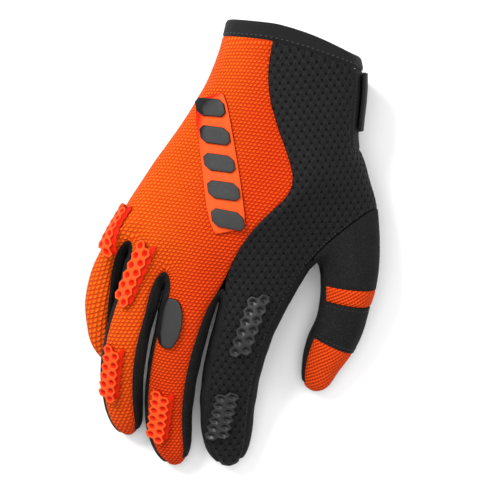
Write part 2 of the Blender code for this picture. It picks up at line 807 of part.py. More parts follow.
def closure_strap(seat):
    """The band over the slit, from the slit's edge round the thumb side to the palm."""
    cuff = HAND[-2]
    centre_x = 0.5 * (cuff[0] + cuff[6])
    upper_y = cuff[7]
    axis = place(centre_x, upper_y, raised(SIDE_HEIGHT))
    outer = []
    inner = []
    for row in range(STRAP_ROWS + 1):
        for column in range(STRAP_COLUMNS + 1):
            share = column / STRAP_COLUMNS
            angle = math.radians(STRAP_UPPER_ANGLE + share * (STRAP_END_ANGLE - STRAP_UPPER_ANGLE))
            end_share = max(0.0, 1.0 - (1.0 - share) / STRAP_END_SHARE)
            narrowing = 1.0 - STRAP_END_NARROWING * end_share ** 3
            offset = (0.5 - row / STRAP_ROWS) * STRAP_WIDTH * narrowing
            y = axis.y - STRAP_SETBACK - STRAP_WIDTH / 2.0 + offset
            origin = Vector((axis.x, y, axis.z))
            direction = Vector((math.cos(angle), 0.0, math.sin(angle)))
            point, normal = seat.hit(origin, direction)
            inner.append(point + normal * STRAP_GAP)
            outer.append(point + normal * (STRAP_GAP + STRAP_THICKNESS))
    return thick_grid("closure_strap", outer, inner, STRAP_ROWS, STRAP_COLUMNS, "binding_black")


PANELS = [
    ("back_panel", BACK_CLOTH, 0.0, "back_orange"),
    ("mesh_panel", MESH_CLOTH, 0.0, "mesh_black"),
    ("palm_panel", PALM_CLOTH, 0.0, "palm_black"),
    ("pinky_ring_gusset", GUSSET_CLOTH, 0.0, "plain_black"),
    ("ring_middle_gusset", GUSSET_CLOTH, 0.0, "plain_black"),
    ("middle_index_gusset", GUSSET_CLOTH, 0.0, "plain_black"),
    ("index_thumb_gusset", GUSSET_CLOTH, 0.0, "plain_black"),
    ("thumb_back", THUMB_CLOTH, 0.0, "plain_black"),
    ("thumb_band", BAND_CLOTH, BAND_LIFT, "thumb_orange"),
    ("thumb_middle", THUMB_CLOTH, 0.0, "plain_black"),
    ("thumb_tip", BACK_CLOTH, 0.0, "thumb_orange"),
    ("thumb_palm", PALM_CLOTH, 0.0, "palm_black"),
    ("cuff_binding", BINDING_TAPE, BINDING_LIFT, "binding_black"),
    ("slit_binding", BINDING_TAPE, 0.0, "binding_black"),
]


def settle():
    """Puts the origin under the middle of the glove's box, on the floor."""
    corners = []
    for thing in bpy.context.scene.objects:
        corners += [vertex.co for vertex in thing.data.vertices]
    low = Vector([min(point[axis] for point in corners) for axis in range(3)])
    high = Vector([max(point[axis] for point in corners) for axis in range(3)])
    offset = Vector(((low.x + high.x) / 2.0, (low.y + high.y) / 2.0, low.z))
    for thing in bpy.context.scene.objects:
        thing.location = -offset


def main():
    clear_scene()
    cage = build_cage()
    skin = smooth_skin(cage, SURFACE_LEVEL)
    panels = [panel_of(spot) for spot in skin["places"]]
    for name, thickness, lift, material in PANELS:
        sewn_panel(skin, panels, name, thickness, lift, material)
    seat = Seat(smooth_skin(cage, SEAT_LEVEL), skin)
    for entry in GUARDS:
        honeycomb_guard(seat, entry)
    badge(seat)
    oval_pad(seat)
    closure_strap(seat)
    settle()


main()
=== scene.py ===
"""The finished motocross glove: sewn cloth, tape, stitches and moulded rubber over the frame."""
import math

import bmesh
import bpy
import numpy as np
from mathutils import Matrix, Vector, noise
from mathutils.bvhtree import BVHTree
from mathutils.kdtree import KDTree


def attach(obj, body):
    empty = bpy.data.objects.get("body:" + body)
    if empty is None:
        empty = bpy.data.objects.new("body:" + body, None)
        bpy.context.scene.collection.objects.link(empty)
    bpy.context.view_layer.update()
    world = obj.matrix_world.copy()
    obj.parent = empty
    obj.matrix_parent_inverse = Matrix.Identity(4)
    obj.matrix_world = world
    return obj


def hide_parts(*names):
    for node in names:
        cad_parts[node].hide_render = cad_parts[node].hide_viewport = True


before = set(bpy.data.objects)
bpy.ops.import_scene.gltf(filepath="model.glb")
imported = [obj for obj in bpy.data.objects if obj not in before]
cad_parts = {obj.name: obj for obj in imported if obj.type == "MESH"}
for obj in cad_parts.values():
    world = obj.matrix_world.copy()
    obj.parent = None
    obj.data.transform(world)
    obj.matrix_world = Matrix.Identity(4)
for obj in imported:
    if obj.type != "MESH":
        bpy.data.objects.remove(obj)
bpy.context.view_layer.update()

MM = 0.001


# --- camera, floor and light -------------------------------------------------------------------

# The photograph looks straight down on the back of the hand, 0.54 mm to a pixel
VIEW_CENTRE = (0.00959, -0.00321)
VIEW_HEIGHT = 2.2
VIEW_WIDTH = 0.2698
VIEW_LIMIT = 20.0
GLOVE_MIDDLE = 0.022
SENSOR_WIDTH = 36.0

FLOOR_SIZE = 6.0
FLOOR_HEIGHT = -0.0002
FLOOR_ROUGHNESS = 0.9
FLOOR_CLOUDS = 3.0
FLOOR_TONES = ((0.90, 0.90, 0.90), (0.93, 0.93, 0.93))

# Each light's name, place, width and power
LIGHTS = [
    ("key_light", (-0.75, 0.75, 0.95), 0.70, 23.0),
    ("soft_light", (0.10, -0.1, 1.6), 1.6, 15.0),
    ("side_light", (0.95, 0.15, 0.55), 0.6, 2.5),
]
LIT_POINT = (0.0, 0.0, 0.02)
ROOM_LIGHT = 0.55


def set_camera():
    camera = bpy.data.cameras.new("camera")
    camera.sensor_width = SENSOR_WIDTH
    camera.lens = SENSOR_WIDTH * (VIEW_HEIGHT - GLOVE_MIDDLE) / VIEW_WIDTH
    camera.clip_end = VIEW_LIMIT
    stand = bpy.data.objects.new("camera", camera)
    stand.location = (VIEW_CENTRE[0], VIEW_CENTRE[1], VIEW_HEIGHT)
    bpy.context.scene.collection.objects.link(stand)
    bpy.context.scene.camera = stand


def lay_floor():
    bpy.ops.object.select_all(action="DESELECT")
    bpy.ops.mesh.primitive_plane_add(size=FLOOR_SIZE, location=(0.0, 0.0, FLOOR_HEIGHT))
    floor = bpy.context.object
    floor.name = "floor"
    paint = Finish("floor_paint", FLOOR_ROUGHNESS)
    clouds = paint.speckle(paint.solid_place(), FLOOR_CLOUDS, detail=2.0)
    paint.colour(paint.between(clouds, *FLOOR_TONES))
    floor.data.materials.append(paint.material)


def area_light(name, place, width, power):
    lamp = bpy.data.lights.new(name, "AREA")
    lamp.shape = "DISK"
    lamp.size = width
    lamp.energy = power
    stand = bpy.data.objects.new(name, lamp)
    stand.location = place
    heading = Vector(LIT_POINT) - Vector(place)
    stand.rotation_euler = heading.to_track_quat("-Z", "Y").to_euler()
    bpy.context.scene.collection.objects.link(stand)


def set_lights():
    for light in LIGHTS:
        area_light(*light)
    bpy.context.scene.view_settings.view_transform = "Standard"
    world = bpy.data.worlds.new("studio")
    bpy.context.scene.world = world
    world.use_nodes = True
    background = world.node_tree.nodes["Background"]
    background.inputs["Color"].default_value = (1.0, 1.0, 1.0, 1.0)
    background.inputs["Strength"].default_value = ROOM_LIGHT


# --- how a finish is written -------------------------------------------------------------------

class Value:
    """A number that varies over a surface. Sums written with it become the finish's Math nodes."""

    def __init__(self, finish, socket):
        self.finish = finish
        self.socket = socket

    def __add__(self, other):
        return self.finish.sum("ADD", self, other)

    __radd__ = __add__

    def __sub__(self, other):
        return self.finish.sum("SUBTRACT", self, other)

    def __rsub__(self, other):
        return self.finish.sum("SUBTRACT", other, self)

    def __mul__(self, other):
        return self.finish.sum("MULTIPLY", self, other)

    __rmul__ = __mul__

    def __truediv__(self, other):
        return self.finish.sum("DIVIDE", self, other)

    def __rtruediv__(self, other):
        return self.finish.sum("DIVIDE", other, self)


class Finish:
    """One material: a Principled shader and the nodes that vary it."""

    SOCKETS = {"sheen": "Sheen Weight", "sheen_roughness": "Sheen Roughness",
               "specular": "Specular IOR Level"}

    def __init__(self, name, roughness, **fixed):
        self.material = bpy.data.materials.new(name)
        self.material.use_nodes = True
        self.tree = self.material.node_tree
        self.shader = self.tree.nodes["Principled BSDF"]
        self.shader.inputs["Roughness"].default_value = roughness
        for socket, value in fixed.items():
            self.shader.inputs[self.SOCKETS[socket]].default_value = value

    def node(self, kind, settings=None, sockets=None):
        made = self.tree.nodes.new(kind)
        for setting, value in (settings or {}).items():
            setattr(made, setting, value)
        for socket, value in (sockets or {}).items():
            self.feed(made.inputs[socket], value)
        return made

    def feed(self, socket, value):
        if isinstance(value, Value):
            self.tree.links.new(value.socket, socket)
        elif isinstance(value, bpy.types.NodeSocket):
            self.tree.links.new(value, socket)
        else:
            socket.default_value = value

    def sum(self, operation, *terms):
        made = self.node("ShaderNodeMath", {"operation": operation}, dict(enumerate(terms)))
        return Value(self, made.outputs[0])

    def cloth_place(self):
        """Place on the cloth in metres: across, along, and both as one."""
        spot = self.node("ShaderNodeUVMap", {"uv_map": "cloth"})
        parts = self.node("ShaderNodeSeparateXYZ", None, {0: spot.outputs["UV"]})
        return Value(self, parts.outputs[0]), Value(self, parts.outputs[1]), spot.outputs["UV"]

    def solid_place(self):
        return self.node("ShaderNodeTexCoord").outputs["Object"]

    def speckle(self, place, scale, detail, roughness=0.6):
        made = self.node("ShaderNodeTexNoise", None,
                         {"Vector": place, "Scale": scale,
                          "Detail": detail, "Roughness": roughness})
        return Value(self, made.outputs["Fac"])

    def smooth(self, value, start, end):
        """0 before start and 1 after end, with a soft step between."""
        made = self.node("ShaderNodeMapRange", {"interpolation_type": "SMOOTHSTEP"},
                         {0: value, 1: start, 2: end, 3: 0.0, 4: 1.0})
        return Value(self, made.outputs[0])

    def flecks(self, grain, start, end, most):
        """Flecks where the grain is high, up to the share most."""
        return self.smooth(grain, start, end) * most

    def ribs(self, place, pitch):
        """Soft waves from 0 to 1, one to each pitch."""
        return self.sum("SINE", place * (2.0 * math.pi / pitch)) * 0.5 + 0.5

    def between(self, share, low, high):
        """low where share is 0 and high where it is 1, as colours."""
        made = self.node("ShaderNodeMix", {"data_type": "RGBA"},
                         {0: share, 6: opaque(low), 7: opaque(high)})
        return made.outputs[2]

    def attribute(self, name):
        reader = self.node("ShaderNodeAttribute", {"attribute_name": name})
        return Value(self, reader.outputs["Fac"])

    def colour(self, socket):
        self.feed(self.shader.inputs["Base Color"], socket)

    def relief(self, height, depth, strength=1.0):
        """A surface that stands up by depth where height is 1."""
        bump = self.node("ShaderNodeBump", None,
                         {"Height": height, "Distance": depth, "Strength": strength})
        self.feed(self.shader.inputs["Normal"], bump.outputs["Normal"])


def opaque(colour):
    return (*colour, 1.0) if isinstance(colour, tuple) else colour


def staggered(finish, across, along, pitch_across, pitch_along):
    """Place in a cell, from -0.5 to 0.5, where every second row is half a cell over."""
    row = finish.sum("FLOOR", along / pitch_along)
    shift = finish.sum("MODULO", finish.sum("ABSOLUTE", row), 2.0) * 0.5
    u = finish.sum("FRACT", across / pitch_across + shift) - 0.5
    v = finish.sum("FRACT", along / pitch_along) - 0.5
    return u, v


# --- the finishes ------------------------------------------------------------------------------

# Noise scales: the fluff of each yarn or the grain of each surface
WOVEN_YARN = 2600.0
MESH_YARN = 1700.0
RIB_YARN = 2200.0
TAPE_YARN = 1800.0
THREAD_YARN = 3000.0
PLAIN_GRAIN = 1400.0
SUEDE_NAP = 900.0
STRAP_GRAIN = 1200.0
RUBBER_GRAIN = 700.0

# Broader noise scales: uneven rows, changes of shade and worn places
WOVEN_WANDER = 90.0
WOVEN_BROAD = 26.0
RIB_WANDER = 120.0
PLAIN_BROAD = 55.0
SUEDE_RUB = 40.0

# How much of a cloth's fluff shows in its colour and in its relief
FLUFF_SHARE = 0.12
FLUFF_RELIEF = 0.15
YARN_FLECKS = {"start": 0.5, "end": 0.8, "most": 0.4}

# The woven back. Its colours are painted light: painted shade between the knots, a painted
# highlight on each knot, and shades that go from the lit little finger side to the darker, redder
# thumb side
KNOT_ACROSS = 2.40 * MM
KNOT_ALONG = 1.90 * MM
KNOT_WANDER = 0.5 * MM
KNOT_LEAN = 0.45
KNOT_SHAPE = (4.8, 4.4)
KNOT_EDGE = (0.45, 1.15)
KNOT_HEIGHT = 0.75 * MM
KNOT_GAP_SHADE = ((0.48, 0.0330, 0.0004), (0.36, 0.0065, 0.0001))
KNOT_TOP_HIGHLIGHT = ((0.72, 0.1150, 0.0060), (0.68, 0.0500, 0.0030))
KNOT_FLUFF = (0.74, 0.14, 0.02)
# Painted light across the hand: how its line turns and wanders, and where the painted shade
# towards the thumb side starts and is full
SHADE_TURN = 0.4
SHADE_WANDER = 0.03
SHADE_FROM = -0.062
SHADE_TO = 0.004

# The spacer mesh. Its relief is of ridges, holes and yarn. Its colour has painted shade in the
# holes and a painted highlight on the ridges
HOLE_ACROSS = 4.70 * MM
HOLE_ALONG = 3.35 * MM
HOLE_PAINT_SHAPE = (24.0, 20.0)
HOLE_PAINT_EDGE = (0.72, 1.18)
HOLE_SHADE_SHARE = 0.9
RIDGE_EDGE = (0.02, 0.24)
MESH_RELIEF = (0.2, 0.8, 0.12)
MESH_HEIGHT = 1.1 * MM
MESH_CLOTH = (0.0070, 0.0069, 0.0075)
MESH_RIDGE_HIGHLIGHT = (0.0118, 0.0116, 0.0125)
MESH_HOLE_SHADE = (0.0016, 0.0015, 0.0018)
MESH_FLUFF = (0.018, 0.0178, 0.019)

PLAIN_DARK = (0.0066, 0.0064, 0.0064)
PLAIN_LIGHT = (0.0210, 0.0204, 0.0200)
PLAIN_HEIGHT = 0.25 * MM

SUEDE_DARK = (0.0080, 0.0080, 0.0084)
SUEDE_LIGHT = (0.0180, 0.0180, 0.0190)
SUEDE_WORN = (0.026, 0.026, 0.027)
SUEDE_RUB_RELIEF = 0.3
SUEDE_HEIGHT = 0.3 * MM

# The ribbed cloth of the thumb: how its cords and their twist run, along and across
RIB_PITCH = 1.75 * MM
RIB_RUN = (0.88, 0.47)
TWIST_PITCH = 1.60 * MM
TWIST_RUN = 0.3
TWIST_SHARE = 0.28
RIB_UNEVEN = 1.2 * MM
# Painted shade between the cords and a painted highlight on them, then the fluff's own colour
RIB_DEEP_SHADE = (0.28, 0.0050, 0.0001)
RIB_HIGHLIGHT = (0.80, 0.0760, 0.0055)
RIB_FLUFF = (0.74, 0.12, 0.02)
RIB_HEIGHT = 0.9 * MM

TWILL_PITCH = 0.9 * MM
TAPE_DARK = (0.0060, 0.0059, 0.0062)
TAPE_LIGHT = (0.0130, 0.0128, 0.0132)
TAPE_FLUFF = (0.024, 0.0238, 0.0245)
TAPE_YARN_RELIEF = 0.4
TAPE_HEIGHT = 0.25 * MM

STRAP_DARK = (0.0055, 0.0055, 0.0060)
STRAP_LIGHT = (0.0150, 0.0150, 0.0158)
STRAP_HEIGHT = 0.2 * MM

# Each rubber's colours in its pits, on its sides and on its raised faces, its roughness and its
# shine. The colours are painted light: painted shade in the pits and a painted highlight on the
# raised faces
RUBBERS = {
    "orange_rubber": ((0.30, 0.0008, 0.0001), (0.52, 0.0085, 0.0005),
                      (0.66, 0.0720, 0.0110), 0.55, 0.06),
    "black_rubber": ((0.0010, 0.0010, 0.0011), (0.0055, 0.0055, 0.0057),
                     (0.0170, 0.0170, 0.0175), 0.38, 0.30),
    "grey_rubber": ((0.0020, 0.0020, 0.0020), (0.0035, 0.0035, 0.0035),
                    (0.0330, 0.0330, 0.0335), 0.60, 0.12),
}
RUBBER_HEIGHT = 0.06 * MM
RUBBER_WORN = 0.75

# Where on a rubber piece's painted light marks the sides and the raised faces begin and are full,
# from painted shade to painted highlight
SIDE_EDGE = (0.05, 0.35)
RAISED_EDGE = (0.66, 0.96)

# The rubber's roughness goes from a little below its own to more above it
ROUGH_BELOW = 0.06
ROUGH_SPREAD = 0.16

THREAD_SHADES = {
    "grey_thread": ((0.022, 0.022, 0.023), (0.060, 0.060, 0.063)),
    "black_thread": ((0.010, 0.010, 0.010), (0.028, 0.028, 0.029)),
}
THREAD_HEIGHT = 0.08 * MM


def woven_orange():
    """Orange cloth of staggered knots, with a painted highlight on each knot, painted shade
    between them, and painted light that darkens towards the thumb side.
    """
    finish = Finish("woven_orange", roughness=0.80, specular=0.06)
    across, along, place = finish.cloth_place()
    wander = finish.speckle(place, WOVEN_WANDER, detail=2.0)
    across = across + (wander - 0.5) * KNOT_WANDER
    u, v = staggered(finish, across, along, KNOT_ACROSS, KNOT_ALONG)
    lean = u - v * KNOT_LEAN
    reach = finish.sum("SQRT", lean * lean * KNOT_SHAPE[0] + v * v * KNOT_SHAPE[1])
    knot = 1.0 - finish.smooth(reach, *KNOT_EDGE)
    yarn = finish.speckle(place, WOVEN_YARN, detail=3.0)
    broad = finish.speckle(place, WOVEN_BROAD, detail=2.0)
    # Painted light: the share of painted shade grows from the little finger side to the thumb side
    side = finish.node("ShaderNodeSeparateXYZ", None, {0: finish.solid_place()})
    across_hand = Value(finish, side.outputs[0]) - Value(finish, side.outputs[1]) * SHADE_TURN
    painted_shade_towards_thumb = finish.smooth(across_hand + (broad - 0.5) * SHADE_WANDER,
                                  SHADE_FROM, SHADE_TO)
    deep = finish.between(painted_shade_towards_thumb, *KNOT_GAP_SHADE)
    bright = finish.between(painted_shade_towards_thumb, *KNOT_TOP_HIGHLIGHT)
    # Painted highlight on the knots and painted shade in the gaps between them
    shade = finish.between(knot, deep, bright)
    finish.colour(finish.between(yarn * FLUFF_SHARE, shade, KNOT_FLUFF))
    finish.relief(knot * (1.0 - FLUFF_RELIEF) + yarn * FLUFF_RELIEF, KNOT_HEIGHT)
    return finish.material


def spacer_mesh():
    """Black mesh: staggered oval holes with raised threads between, painted shade in the holes and
    a painted highlight on the threads.
    """
    finish = Finish("spacer_mesh", roughness=0.70, specular=0.10)
    across, along, place = finish.cloth_place()
    u, v = staggered(finish, across, along, HOLE_ACROSS, HOLE_ALONG)
    reach = finish.sum("SQRT", u * u * HOLE_PAINT_SHAPE[0] + v * v * HOLE_PAINT_SHAPE[1])
    hole = 1.0 - finish.smooth(reach, *HOLE_PAINT_EDGE)
    lines = []
    for side in (0.5, -0.5):
        turned = finish.sum("FRACT", across / HOLE_ACROSS + along / HOLE_ALONG * side)
        from_line = finish.sum("ABSOLUTE", turned - 0.5)
        lines.append(1.0 - finish.smooth(from_line, *RIDGE_EDGE))
    ridge = finish.sum("MAXIMUM", *lines)
    yarn = finish.speckle(place, MESH_YARN, detail=3.0)
    # Painted highlight on the ridges, then painted shade in the holes
    shade = finish.between(ridge, MESH_CLOTH, MESH_RIDGE_HIGHLIGHT)
    shade = finish.between(hole * HOLE_SHADE_SHARE, shade, MESH_HOLE_SHADE)
    finish.colour(finish.between(finish.flecks(yarn, **YARN_FLECKS), shade, MESH_FLUFF))
    height = ridge * MESH_RELIEF[0] - hole * MESH_RELIEF[1] + yarn * MESH_RELIEF[2]
    finish.relief(height, MESH_HEIGHT)
    return finish.material


def plain_cloth():
    """Fine smooth stretch cloth with a soft speckle."""
    finish = Finish("plain_black_cloth", roughness=0.75, specular=0.08)
    place = finish.solid_place()
    fine = finish.speckle(place, PLAIN_GRAIN, detail=4.0, roughness=0.7)
    broad = finish.speckle(place, PLAIN_BROAD, detail=2.0)
    shade = finish.between(finish.smooth(fine, start=0.45, end=0.72), PLAIN_DARK, PLAIN_LIGHT)
    worn = finish.flecks(broad, start=0.4, end=0.75, most=0.15)
    finish.colour(finish.between(worn, shade, PLAIN_LIGHT))
    finish.relief(fine, PLAIN_HEIGHT, strength=0.8)
    return finish.material


def suede_palm():
    """Thin synthetic suede with a soft nap and a few worn places."""
    finish = Finish("suede_palm", roughness=0.82, sheen=0.03, sheen_roughness=0.4, specular=0.1)
    place = finish.solid_place()
    nap = finish.speckle(place, SUEDE_NAP, detail=5.0, roughness=0.7)
    rub = finish.speckle(place, SUEDE_RUB, detail=3.0)
    shade = finish.between(finish.smooth(nap, start=0.3, end=0.7), SUEDE_DARK, SUEDE_LIGHT)
    worn = finish.flecks(rub, start=0.45, end=0.7, most=0.45)
    finish.colour(finish.between(worn, shade, SUEDE_WORN))
    finish.relief(nap * (1.0 - SUEDE_RUB_RELIEF) + rub * SUEDE_RUB_RELIEF, SUEDE_HEIGHT)
    return finish.material


def ribbed_orange():
    """Orange cloth of twisted cords that run obliquely over the thumb, with a painted highlight on
    the cords and painted shade between them.
    """
    finish = Finish("ribbed_orange", roughness=0.80, specular=0.06)
    across, along, place = finish.cloth_place()
    wander = (finish.speckle(place, RIB_WANDER, detail=2.0) - 0.5) * RIB_UNEVEN
    cord = finish.ribs(along * RIB_RUN[0] - across * RIB_RUN[1] + wander, RIB_PITCH)
    twist = finish.ribs(across + along * TWIST_RUN + wander, TWIST_PITCH)
    wave = cord * (1.0 - TWIST_SHARE) + twist * TWIST_SHARE
    yarn = finish.speckle(place, RIB_YARN, detail=3.0)
    # Painted highlight on the cords and painted shade between them
    shade = finish.between(wave, RIB_DEEP_SHADE, RIB_HIGHLIGHT)
    finish.colour(finish.between(yarn * FLUFF_SHARE, shade, RIB_FLUFF))
    finish.relief(wave * (1.0 - FLUFF_RELIEF) + yarn * FLUFF_RELIEF, RIB_HEIGHT)
    return finish.material


def tape_black():
    """Black binding tape with a fine twill."""
    finish = Finish("tape_black", roughness=0.68, specular=0.10)
    across, along, place = finish.cloth_place()
    twill = finish.ribs(across + along, TWILL_PITCH)
    yarn = finish.speckle(place, TAPE_YARN, detail=3.0)
    shade = finish.between(twill, TAPE_DARK, TAPE_LIGHT)
    finish.colour(finish.between(finish.flecks(yarn, **YARN_FLECKS), shade, TAPE_FLUFF))
    finish.relief(twill * (1.0 - TAPE_YARN_RELIEF) + yarn * TAPE_YARN_RELIEF, TAPE_HEIGHT)
    return finish.material


def strap_cloth():
    """Smooth black strap with a fine brushed surface."""
    finish = Finish("strap_cloth", roughness=0.64, specular=0.10)
    fine = finish.speckle(finish.solid_place(), STRAP_GRAIN, detail=4.0, roughness=0.7)
    brushed = finish.smooth(fine, start=0.35, end=0.75)
    finish.colour(finish.between(brushed, STRAP_DARK, STRAP_LIGHT))
    finish.relief(fine, STRAP_HEIGHT)
    return finish.material


def moulded_rubber(name):
    """Moulded rubber with a faint grain, painted lighter on its raised faces and darker in its
    pits, as painted highlight and painted shade.
    """
    low, side, high, roughness, shine = RUBBERS[name]
    finish = Finish(name, roughness, specular=shine)
    fine = finish.speckle(finish.solid_place(), RUBBER_GRAIN, detail=4.0, roughness=0.65)
    # The raised mark is painted light: 0 for painted shade in the pits, 1 for the painted
    # highlight on the raised faces
    raised = finish.attribute("raised")
    shade = finish.between(finish.smooth(raised, *SIDE_EDGE), low, side)
    shade = finish.between(finish.smooth(raised, *RAISED_EDGE), shade, high)
    worn = tuple(RUBBER_WORN * part for part in high)
    finish.colour(finish.between(finish.flecks(fine, start=0.4, end=0.8, most=0.18), shade, worn))
    rough = finish.flecks(fine, start=0.3, end=0.8, most=ROUGH_SPREAD) + (roughness - ROUGH_BELOW)
    finish.feed(finish.shader.inputs["Roughness"], rough)
    finish.relief(fine, RUBBER_HEIGHT, strength=0.6)
    return finish.material


def sewing_thread(shade):
    """Twisted thread, made once for each shade."""
    if shade in bpy.data.materials:
        return bpy.data.materials[shade]
    finish = Finish(shade, roughness=0.6, specular=0.3)
    twist = finish.speckle(finish.solid_place(), THREAD_YARN, detail=2.0)
    finish.colour(finish.between(twist, *THREAD_SHADES[shade]))
    finish.relief(twist, THREAD_HEIGHT)
    return finish.material


# --- pieces from the frame ---------------------------------------------------------------------

# Points closer than this are one. Triangles that fold by less than the pairing angle are paired
SAME_POINT = 0.01 * MM
CLOTH_PAIRING = 55.0
GUARD_PAIRING = 4.0
PAIR_SQUARENESS = 60.0


def only(thing):
    """Selects one piece and nothing else."""
    bpy.ops.object.select_all(action="DESELECT")
    thing.select_set(True)
    bpy.context.view_layer.objects.active = thing


def add_object(name, mesh):
    thing = bpy.data.objects.new(name, mesh)
    bpy.context.scene.collection.objects.link(thing)
    return thing


def copy_of(node, name, pairing=CLOTH_PAIRING):
    """The node's solid as a piece of its own, its doubles merged and its triangles paired."""
    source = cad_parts[node]
    mesh = source.data.copy()
    mesh.transform(source.matrix_world)
    mesh.materials.clear()
    thing = add_object(name, mesh)
    only(thing)
    bpy.ops.object.mode_set(mode="EDIT")
    bpy.ops.mesh.select_all(action="SELECT")
    bpy.ops.mesh.remove_doubles(threshold=SAME_POINT)
    bpy.ops.mesh.tris_convert_to_quads(face_threshold=math.radians(pairing),
                                       shape_threshold=math.radians(PAIR_SQUARENESS))
    bpy.ops.object.mode_set(mode="OBJECT")
    return thing


def apply_to(thing, modifier):
    only(thing)
    bpy.ops.object.modifier_apply(modifier=modifier.name)


def round_edges(thing, width, angle):
    """Rounds the edges that fold by more than the angle."""
    edges = thing.modifiers.new("edges", "BEVEL")
    edges.width = width
    edges.segments = 2
    edges.limit_method = "ANGLE"
    edges.angle_limit = math.radians(angle)
    apply_to(thing, edges)


def dress(thing, sharp, material):
    """Smooth shading that breaks where a fold is sharp, and the piece's finish."""
    thing.data.shade_smooth()
    thing.data.set_sharp_from_angle(angle=math.radians(sharp))
    thing.data.materials.append(material)


def soft_step(value):
    value = np.clip(value, 0.0, 1.0)
    return value * value * (3.0 - 2.0 * value)


def read_vectors(items, field):
    """Places or normals of a mesh's vertices, one row each."""
    values = np.empty(len(items) * 3)
    items.foreach_get(field, values)
    return values.reshape(-1, 3)


# --- sewn cloth --------------------------------------------------------------------------------

# The cloth's cut edges fold from its face by more than this
CUT_FOLD = 50.0

# How the cloth turns down at a seam, and how it stays even near one
SEAM_DROP = 0.75 * MM
LOW_SEAM_DROP = {"thumb_middle": 0.05 * MM, "thumb_back": 0.20 * MM}
SEAM_REACH = 2.0 * MM
SEAM_SHARPNESS = 1.5
FOLDS_KEEP_OFF = 4.0 * MM
HOLES_KEEP_OFF = 3.0 * MM
FOLD_SHIFT = (3.1, 1.7, 0.9)
CLOTH_SHARP = 50.0

# Two pieces share a seam where they lie this close
SHARED_SEAM = 1.2 * MM

# The hollows of the mesh: depth, shape, and where their slopes start and how far they run
HOLE_DEPTH = 0.30 * MM
HOLE_SHAPE = (10.5, 11.0)
HOLE_FLOOR = 0.3
HOLE_SLOPE = 0.9

# Where a slot's head lies, the way it points, how far the change reaches, its rise and its spread
SLOT_HEADS = [
    ((-56.6 * MM, -4.8 * MM), (0.30, 0.95), 22.0 * MM, 7.0 * MM, 1.5),
    ((-37.4 * MM, -19.2 * MM), (0.34, 0.94), 20.0 * MM, 5.0 * MM, 1.4),
]
HEAD_NARROWING = 3.0
ROUND_HEADED = ["back_panel", "pinky_ring_gusset", "ring_middle_gusset"]

# The lines, across and along in metres, where the two sides of a gusset meet
GUSSET_LINES = {
    "pinky_ring_gusset": ((-0.0576, -0.0080), (-0.0606, -0.0215)),
    "ring_middle_gusset": ((-0.0376, -0.0250), (-0.0402, -0.0350)),
}
GUSSET_REACH = 3.5 * MM

# Panels that run in under the cuff tape, the palm's edge that runs in under the back,
# and the foot of the slit's tape that runs out over the mesh
UNDER_CUFF_TAPE = ["back_panel", "mesh_panel", "palm_panel"]
CUFF_TUCK = 1.6 * MM
CUFF_TUCK_REACH = 4.0 * MM
SIDE_TUCK = 0.8 * MM
SIDE_TUCK_DROP = 0.25 * MM
SIDE_TUCK_REACH = 5.0 * MM
SIDE_TUCK_START = 75.0 * MM
SIDE_TUCK_FADE = 18.0 * MM
SLIT_TUCK = 0.9 * MM
SLIT_TUCK_REACH = 4.0 * MM


def keep_outer_face(thing, thickness):
    """Takes away the lining side and the cut edges, which are one cloth thick."""
    work = bmesh.new()
    work.from_mesh(thing.data)
    cut = {edge for edge in work.edges if abs(edge.calc_length() - thickness) < SAME_POINT}
    walls = []
    for face in work.faces:
        across = sum(edge in cut for edge in face.edges)
        folded = sum(edge.calc_face_angle(0.0) > math.radians(CUT_FOLD)
                     for edge in face.edges if edge not in cut)
        if across > 1 or (across == 1 and (len(face.verts) == 3 or folded > 1)):
            walls.append(face)
    bmesh.ops.delete(work, geom=walls, context="FACES")
    sheets = joined_faces(work)
    sheets.sort(key=lambda sheet: sum(face.calc_area() for face in sheet), reverse=True)
    inner = [face for sheet in sheets[1:] for face in sheet]
    bmesh.ops.delete(work, geom=inner, context="FACES")
    work.to_mesh(thing.data)
    work.free()


def joined_faces(work):
    """The faces in groups that hang together."""
    left = set(work.faces)
    sheets = []
    while left:
        sheet = {left.pop()}
        front = list(sheet)
        while front:
            face = front.pop()
            near = {other for edge in face.edges for other in edge.link_faces} & left
            left -= near
            sheet |= near
            front.extend(near)
        sheets.append(sheet)
    return sheets


def round_heads(thing):
    """Draws the heads of the slots between the fingers up and apart, so that they end round."""
    for vertex in thing.data.vertices:
        for head, way, reach, rise, spread in SLOT_HEADS:
            offset = vertex.co.xy - Vector(head)
            way = Vector(way).normalized()
            sideways = offset - way * offset.dot(way)
            away = offset.length_squared + HEAD_NARROWING * sideways.length_squared
            share = max(0.0, 1.0 - away / reach ** 2) ** 2
            vertex.co.xy += (way * rise + sideways * spread) * share


def loop_values(mesh):
    """The vertex and the map place of each face corner."""
    corner = np.empty(len(mesh.loops), dtype=np.int64)
    mesh.loops.foreach_get("vertex_index", corner)
    flat = np.empty(len(mesh.loops) * 2)
    mesh.uv_layers[0].data.foreach_get("uv", flat)
    return corner, flat.reshape(-1, 2)


